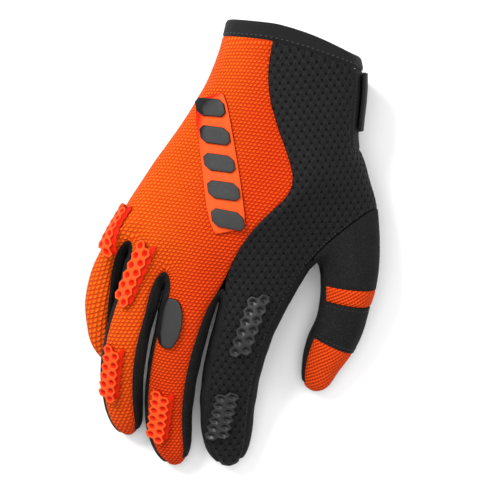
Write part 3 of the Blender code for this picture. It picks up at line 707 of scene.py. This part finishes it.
def lay_flat(thing):
    """Unrolls the cloth as it was cut: the map is in metres, with along towards the cuff."""
    only(thing)
    bpy.ops.object.mode_set(mode="EDIT")
    bpy.ops.mesh.select_all(action="SELECT")
    bpy.ops.uv.unwrap(method="CONFORMAL", margin=0.0, correct_aspect=False)
    bpy.ops.object.mode_set(mode="OBJECT")
    mesh = thing.data
    layer = mesh.uv_layers[0]
    layer.name = "cloth"
    corner, flat = loop_values(mesh)
    spots = read_vectors(mesh.vertices, "co")[corner, :2]
    flat_area = 0.0
    for polygon in mesh.polygons:
        ring = flat[polygon.loop_start:polygon.loop_start + polygon.loop_total]
        after = np.roll(ring, -1, axis=0)
        flat_area += 0.5 * abs(np.sum(ring[:, 0] * after[:, 1] - after[:, 0] * ring[:, 1]))
    area = sum(polygon.area for polygon in mesh.polygons)
    flat = (flat - flat.mean(axis=0)) * math.sqrt(area / flat_area)
    # The turn that lies closest to the cloth's place on the hand
    fit, _, _, _ = np.linalg.lstsq(flat, spots - spots.mean(axis=0), rcond=None)
    left, _, right = np.linalg.svd(fit)
    flat = flat @ (left @ right)
    layer.data.foreach_set("uv", flat.ravel())


def add_rounding(thing, level):
    rounding = thing.modifiers.new("rounding", "SUBSURF")
    rounding.levels = level
    rounding.render_levels = level
    rounding.boundary_smooth = "PRESERVE_CORNERS"
    rounding.uv_smooth = "PRESERVE_BOUNDARIES"
    apply_to(thing, rounding)


def thicken(thing, thickness):
    wall = thing.modifiers.new("wall", "SOLIDIFY")
    wall.thickness = thickness
    wall.offset = -1.0
    wall.use_rim = True
    apply_to(thing, wall)


def map_places(mesh):
    """Each vertex's place on the cloth's map."""
    corner, flat = loop_values(mesh)
    spots = np.zeros((len(mesh.vertices), 2))
    spots[corner] = flat
    return spots


def tree_of(points):
    tree = KDTree(len(points))
    for number, point in enumerate(points):
        tree.insert(point, number)
    tree.balance()
    return tree


def border_of(mesh):
    """The places of the cloth's border points."""
    uses = {}
    for polygon in mesh.polygons:
        for key in polygon.edge_keys:
            uses[key] = uses.get(key, 0) + 1
    border = sorted({index for key, count in uses.items() if count == 1 for index in key})
    return [mesh.vertices[index].co for index in border]


def seam_distance(mesh, border, neighbours):
    """How far each point of the cloth lies from the seam that it shares with its neighbours."""
    trees = []
    for node in neighbours:
        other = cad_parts[node]
        points = [other.matrix_world @ vertex.co for vertex in other.data.vertices]
        faces = [list(polygon.vertices) for polygon in other.data.polygons]
        trees.append(BVHTree.FromPolygons(points, faces))
    seam = tree_of([spot for spot in border
                    if min(tree.find_nearest(spot)[3] for tree in trees) < SHARED_SEAM])
    return np.array([seam.find(vertex.co)[2] for vertex in mesh.vertices])


def seam_roll(distance, drop):
    """How far the cloth turns down next to a seam."""
    return -drop * (1.0 - soft_step(distance / SEAM_REACH)) ** SEAM_SHARPNESS


def cloth_folds(points, size, depth, seed):
    """Soft unevenness of worn cloth, as a height at each point."""
    shift = Vector([seed * step for step in FOLD_SHIFT])
    return np.array([depth * noise.noise(Vector(point) / size + shift) for point in points])


def mesh_holes(spots):
    """The hollow of each hole of the mesh, as the pattern on it has them."""
    row = np.floor(spots[:, 1] / HOLE_ALONG)
    shift = np.abs(row) % 2.0 * 0.5
    u = (spots[:, 0] / HOLE_ACROSS + shift) % 1.0 - 0.5
    v = (spots[:, 1] / HOLE_ALONG) % 1.0 - 0.5
    reach = np.sqrt(u * u * HOLE_SHAPE[0] + v * v * HOLE_SHAPE[1])
    return -HOLE_DEPTH * (1.0 - soft_step((reach - HOLE_FLOOR) / HOLE_SLOPE))


def close_gusset(points, start, end):
    """Draws the two sides of a gusset together along a line between the fingers."""
    start = np.array(start)
    run = np.array(end) - start
    share = np.clip((points[:, :2] - start) @ run / (run @ run), 0.0, 1.0)
    aside = points[:, :2] - start - share[:, None] * run
    near = soft_step(1.0 - np.linalg.norm(aside, axis=1) / GUSSET_REACH)
    points[:, :2] -= aside * near[:, None]


def tuck_edges(node, mesh, border, points, normals, moved):
    """Lays the panel's edges under or over the pieces that they are sewn to."""
    if node in UNDER_CUFF_TAPE:
        near = soft_step(1.0 - seam_distance(mesh, border, ("cuff_binding",)) / CUFF_TUCK_REACH)
        moved[:, 1] += CUFF_TUCK * near
    if node == "palm_panel":
        near = soft_step(1.0 - seam_distance(mesh, border, ("back_panel",)) / SIDE_TUCK_REACH)
        near *= soft_step((points[:, 1] - SIDE_TUCK_START) / SIDE_TUCK_FADE)
        moved -= normals * (SIDE_TUCK_DROP * near)[:, None]
        moved[:, 2] += SIDE_TUCK * near
    if node in GUSSET_LINES:
        close_gusset(moved, *GUSSET_LINES[node])
    if node == "slit_binding":
        foot = soft_step(1.0 - (moved[:, 1] - moved[:, 1].min()) / SLIT_TUCK_REACH)
        moved[:, 1] -= SLIT_TUCK * foot


def sewn_cloth(node, name, thickness, level, material, folds, holes):
    """A finished panel: rounded, turned down at its seams, slightly uneven, one cloth thick."""
    thing = copy_of(node, name)
    keep_outer_face(thing, thickness)
    if node in ROUND_HEADED:
        round_heads(thing)
    lay_flat(thing)
    add_rounding(thing, level)
    mesh = thing.data
    points = read_vectors(mesh.vertices, "co")
    normals = read_vectors(mesh.vertex_normals, "vector")
    border = border_of(mesh)
    tree = tree_of(border)
    distance = np.array([tree.find(point)[2] for point in points])
    height = seam_roll(distance, LOW_SEAM_DROP.get(node, SEAM_DROP))
    if folds:
        even = soft_step(distance / FOLDS_KEEP_OFF)
        height = height + even * cloth_folds(points, *folds, len(name))
    if holes:
        height = height + mesh_holes(map_places(mesh)) * soft_step(distance / HOLES_KEEP_OFF)
    moved = points + normals * height[:, None]
    moved[:, 2] = np.maximum(moved[:, 2], 0.0)
    tuck_edges(node, mesh, border, points, normals, moved)
    mesh.vertices.foreach_set("co", moved.ravel())
    mesh.update()
    # The stitches' rows are measured on the finished cloth, before it gets its thickness
    border = border_of(mesh)
    for number, (neighbours, inset, thread) in enumerate(STITCHES.get(node, [])):
        lines = lines_at(mesh, seam_distance(mesh, border, neighbours), inset)
        sew(f"{node}_stitches_{number + 1}", lines, thread)
    thicken(thing, thickness)
    dress(thing, CLOTH_SHARP, material)
    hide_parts(node)
    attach(thing, "root")


# --- stitches ----------------------------------------------------------------------------------

# Pitch, length and radius of a stitch, and its thread
THREADS = {
    "cuff": (2.90 * MM, 1.50 * MM, 0.24 * MM, "grey_thread"),
    "fine": (2.10 * MM, 1.35 * MM, 0.20 * MM, "black_thread"),
}

# Rows of stitches on a piece: the pieces that it is sewn to there, how far in, and the thread
STITCHES = {
    "cuff_binding": [(("back_panel", "mesh_panel", "palm_panel"), 2.1 * MM, "cuff")],
    "slit_binding": [(("mesh_panel",), 1.7 * MM, "fine")],
    "mesh_panel": [(("index_thumb_gusset",), 1.5 * MM, "fine"),
                   (("thumb_back",), 1.6 * MM, "fine")],
    "thumb_middle": [(("thumb_band",), 2.0 * MM, "fine"), (("thumb_tip",), 2.0 * MM, "fine")],
}

# A stitch's rings: place along its length, then girth and lift in thread radii
STITCH_RINGS = [(-0.5, 0.45, -0.9), (-0.36, 0.95, 0.05), (0.0, 1.0, 0.45),
                (0.36, 0.95, 0.05), (0.5, 0.45, -0.9)]
STITCH_SIDES = 6


def lines_at(mesh, field, level):
    """Lines on the cloth where a field has one value, as lists of places with their normals."""
    crossings = {}
    links = {}
    for polygon in mesh.polygons:
        cut = []
        for first, last in polygon.edge_keys:
            if (field[first] - level) * (field[last] - level) < 0.0:
                share = (level - field[first]) / (field[last] - field[first])
                start, end = mesh.vertices[first], mesh.vertices[last]
                crossings[(first, last)] = (start.co.lerp(end.co, share),
                                            start.normal.lerp(end.normal, share))
                cut.append((first, last))
        if len(cut) == 2:
            links.setdefault(cut[0], []).append(cut[1])
            links.setdefault(cut[1], []).append(cut[0])
    lines = []
    left = set(links)
    starts = [key for key in sorted(links) if len(links[key]) == 1] + sorted(links)
    for key in starts:
        if key not in left:
            continue
        line = []
        while key is not None:
            left.discard(key)
            line.append(crossings[key])
            key = next((other for other in links[key] if other in left), None)
        lines.append(line)
    return lines


def even_places(line, pitch):
    """Places at even steps along a line, with the way it runs and the cloth's normal."""
    places = []
    wait = pitch / 2.0
    for (start, normal), (end, _) in zip(line, line[1:]):
        length = (end - start).length
        while length > 0.0 and wait <= length:
            spot = start.lerp(end, wait / length)
            places.append((spot, (end - start) / length, normal.normalized()))
            wait += pitch
        wait -= length
    return places


def sew(name, lines, thread):
    """A row of stitches: short rounded threads that dip into the cloth at both ends."""
    pitch, length, radius, shade = THREADS[thread]
    points = []
    faces = []
    for line in lines:
        for place, heading, normal in even_places(line, pitch):
            side = heading.cross(normal).normalized()
            first = len(points)
            for along, girth, lift in STITCH_RINGS:
                middle = place + heading * (along * length) + normal * (lift * radius)
                for step in range(STITCH_SIDES):
                    turn = math.radians(360.0 / STITCH_SIDES * step)
                    out = side * math.cos(turn) + normal * math.sin(turn)
                    points.append(middle + out * (girth * radius))
            last = first + STITCH_SIDES * (len(STITCH_RINGS) - 1)
            for ring in range(first, last, STITCH_SIDES):
                for step in range(STITCH_SIDES):
                    low = ring + step
                    beside = ring + (step + 1) % STITCH_SIDES
                    faces.append([low, beside, beside + STITCH_SIDES, low + STITCH_SIDES])
            faces.append([first + step for step in reversed(range(STITCH_SIDES))])
            faces.append([last + step for step in range(STITCH_SIDES)])
    mesh = bpy.data.meshes.new(name)
    mesh.from_pydata(points, [], faces)
    mesh.shade_smooth()
    mesh.materials.append(sewing_thread(shade))
    thing = add_object(name, mesh)
    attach(thing, "root")


# --- moulded rubber and the strap --------------------------------------------------------------

# The painted light of a guard: 1 on its rims for a painted highlight, 0 in its pits for painted
# shade, and these on its border and at its foot, where the foot is in painted shade
BORDER_SHADE = 0.45
FOOT_SHADE = 0.1
FOOT_SLOPE = -0.2

# A pit is a point with six faces round it, whose neighbours all stand this far above it
PIT_SIDES = 6
PIT_DEPTH = 0.3 * MM
PIT_FLOOR = 0.55 * MM

# How wide the edges are rounded, the folds that are, and the folds that stay sharp in the light
GUARD_EDGES = (0.24 * MM, 26.0)
GUARD_SHARP = 70.0
PLATE_EDGE = 0.30 * MM
PAD_EDGE = 0.40 * MM
MOULDED_FOLD = 24.0
MOULDED_SHARP = 60.0
STRAP_EDGES = (0.4 * MM, 40.0)
STRAP_SHARP = 50.0

# A moulded face gets painted light from the first slope upwards, and a full painted highlight
# after the second's run: faces that face up are painted lighter
RAISED_FROM = 0.55
RAISED_RUN = 0.35


def is_hollow(vert):
    """True where every neighbour stands above the vertex along its normal."""
    return all((edge.other_vert(vert).co - vert.co).dot(vert.normal) > PIT_DEPTH
               for edge in vert.link_edges)


def mark_pits(thing):
    """Marks each corner of a guard with painted light, lit on its rims, in painted shade in its
    pits, between on its border and darker at its foot, and gives its pits a flat floor.
    """
    work = bmesh.new()
    work.from_mesh(thing.data)
    # Painted light: the raised mark holds how lit each corner is painted
    layer = work.verts.layers.float.new("raised")
    pits = [vert for vert in work.verts if len(vert.link_faces) == PIT_SIDES and is_hollow(vert)]
    mouths = {edge.other_vert(vert) for vert in pits for edge in vert.link_edges}
    rims = {vert for mouth in mouths for face in mouth.link_faces for vert in face.verts}
    for vert in work.verts:
        vert[layer] = BORDER_SHADE
        if min(face.normal.z for face in vert.link_faces) < FOOT_SLOPE:
            vert[layer] = FOOT_SHADE
    for vert in rims:
        vert[layer] = 1.0
    for vert in pits:
        vert[layer] = 0.0
    bmesh.ops.bevel(work, geom=pits, offset=PIT_FLOOR, affect="VERTICES", segments=1)
    work.to_mesh(thing.data)
    work.free()


def guard(node, name, material):
    """A honeycomb guard: rounded rims round deep cups with flat floors."""
    thing = copy_of(node, name, GUARD_PAIRING)
    mark_pits(thing)
    round_edges(thing, *GUARD_EDGES)
    dress(thing, GUARD_SHARP, material)
    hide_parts(node)
    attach(thing, "root")


def moulded(node, name, edge, material):
    """A moulded rubber piece with rounded edges, and painted light that is stronger on the faces
    that face up.
    """
    thing = copy_of(node, name)
    round_edges(thing, edge, MOULDED_FOLD)
    dress(thing, MOULDED_SHARP, material)
    # Painted light: the faces that face up are marked to be painted lighter, those that face away
    # darker
    mark = thing.data.attributes.new("raised", "FLOAT", "POINT")
    slope = read_vectors(thing.data.vertex_normals, "vector")[:, 2]
    mark.data.foreach_set("value", soft_step((slope - RAISED_FROM) / RAISED_RUN))
    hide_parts(node)
    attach(thing, "root")


def make_strap():
    strap = copy_of("closure_strap", "closure_strap_cloth")
    round_edges(strap, *STRAP_EDGES)
    dress(strap, STRAP_SHARP, strap_cloth())
    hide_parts("closure_strap")
    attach(strap, "root")


# --- the glove ---------------------------------------------------------------------------------

# Each panel's thickness in mm, rounding level, cloth, folds (their size and depth in metres)
# and whether it has holes
PANELS = [
    ("back_panel", 1.6, 3, "woven", (0.016, 0.0007), False),
    ("mesh_panel", 2.0, 3, "mesh", (0.018, 0.0008), True),
    ("palm_panel", 1.4, 2, "palm", (0.014, 0.0007), False),
    ("pinky_ring_gusset", 1.2, 3, "plain", (0.010, 0.0004), False),
    ("ring_middle_gusset", 1.2, 3, "plain", (0.010, 0.0004), False),
    ("middle_index_gusset", 1.2, 3, "plain", (0.010, 0.0004), False),
    ("index_thumb_gusset", 1.2, 3, "plain", (0.010, 0.0004), False),
    ("thumb_back", 1.8, 3, "plain", (0.014, 0.0006), False),
    ("thumb_band", 2.2, 3, "ribbed", None, False),
    ("thumb_middle", 1.8, 3, "plain", (0.012, 0.0004), False),
    ("thumb_tip", 1.6, 3, "ribbed", (0.010, 0.0003), False),
    ("thumb_palm", 1.4, 3, "palm", (0.012, 0.0005), False),
    ("cuff_binding", 2.6, 3, "tape", None, False),
    ("slit_binding", 2.6, 3, "tape", None, False),
]
ORANGE_GUARDS = ["knuckle_guard_pinky", "knuckle_guard_ring",
                 "finger_guard_ring", "finger_guard_middle"]
BLACK_GUARDS = ["knuckle_guard_index", "finger_guard_index"]
BADGE_BARS = 5


def make_cloth():
    cloths = {"woven": woven_orange(), "mesh": spacer_mesh(), "plain": plain_cloth(),
              "palm": suede_palm(), "ribbed": ribbed_orange(), "tape": tape_black()}
    for node, thickness, level, cloth, folds, holes in PANELS:
        sewn_cloth(node, node + "_cloth", thickness * MM, level, cloths[cloth], folds, holes)


def make_rubber():
    orange = moulded_rubber("orange_rubber")
    black = moulded_rubber("black_rubber")
    grey = moulded_rubber("grey_rubber")
    for node in ORANGE_GUARDS:
        guard(node, node + "_rubber", orange)
    for node in BLACK_GUARDS:
        guard(node, node + "_rubber", black)
    moulded("badge_backing", "badge_backing_rubber", PLATE_EDGE, orange)
    for number in range(1, BADGE_BARS + 1):
        moulded(f"badge_bar_{number}", f"badge_bar_{number}_rubber", PLATE_EDGE, grey)
    moulded("oval_pad", "oval_pad_rubber", PAD_EDGE, grey)


set_camera()
lay_floor()
set_lights()
make_cloth()
make_rubber()
make_strap()
